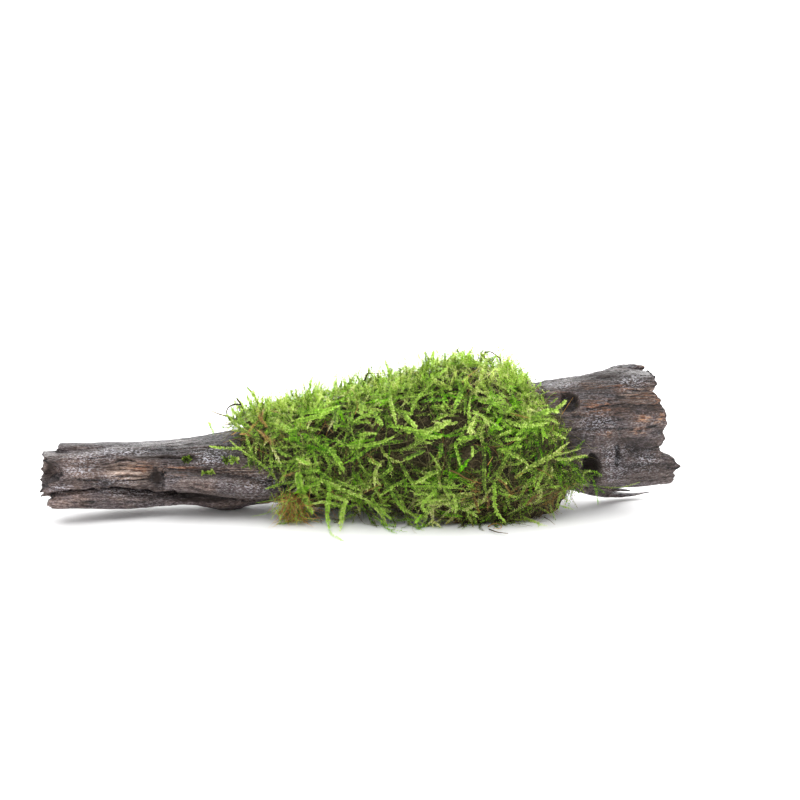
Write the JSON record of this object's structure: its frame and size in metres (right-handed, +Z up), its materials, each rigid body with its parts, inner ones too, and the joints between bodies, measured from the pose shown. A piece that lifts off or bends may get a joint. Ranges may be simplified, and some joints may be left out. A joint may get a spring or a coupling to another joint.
{
  "type": "java moss on driftwood",
  "caption": "Dark wet driftwood stick with a thick mat of java moss grown round its middle, for the bottom of an aquarium.",
  "frame": {"origin": "on the ground, under the middle of the whole piece's box", "axes": "+X along the wood to its thick broken end, +Y away from the viewer, +Z up"},
  "size_m": [0.253, 0.0898, 0.0676],
  "materials": {
    "wet_driftwood": "weathered dark brown-grey grain, wet, with glossy glints and rusty patches",
    "java_moss": "damp bright green fronds of small leaves, translucent at the tips, olive and brown underneath"
  },
  "bodies": {
    "root": {"driftwood": "wet_driftwood", "moss_mat": "java_moss", "sprig_on_crack": "java_moss", "sprig_on_lobe": "java_moss", "sprig_near_mat": "java_moss"}
  },
  "joints": []
}
